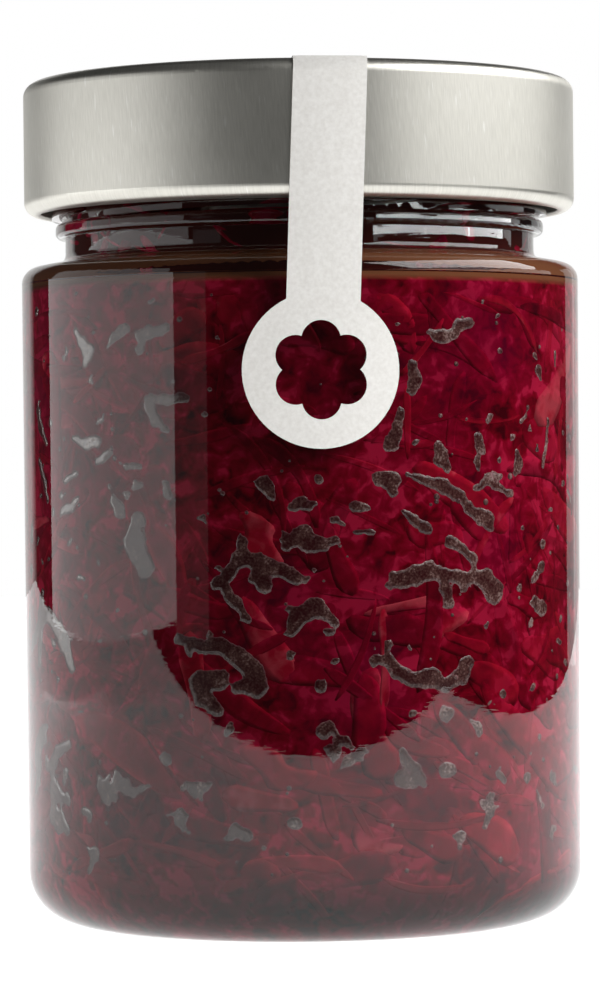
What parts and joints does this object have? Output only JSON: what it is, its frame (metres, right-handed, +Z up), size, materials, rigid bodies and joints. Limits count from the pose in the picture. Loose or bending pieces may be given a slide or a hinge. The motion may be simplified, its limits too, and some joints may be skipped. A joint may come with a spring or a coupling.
{
  "type": "fermented red cabbage jar",
  "caption": "Shut round preserving jar of shredded red cabbage, with a straight glass wall, a deep steel twist-off lid and a paper seal strip over the lid.",
  "frame": {"origin": "middle of the glass standing ring, on the table", "axes": "+Z up the jar's axis to the lid; the seal's front disc faces -Y; +X to the right of it"},
  "size_m": [0.0862, 0.0868, 0.1303],
  "materials": {
    "clear_glass": "polished moulded soda-lime glass",
    "lid_steel": "brushed upright, clear lacquer",
    "seal_paper": "uncoated white paper",
    "cabbage": "wet shredded cabbage in its juice"
  },
  "bodies": {
    "root": {"jar_glass": "clear_glass", "lid": "lid_steel", "seal": "seal_paper", "cabbage_fill": "cabbage"}
  },
  "joints": []
}
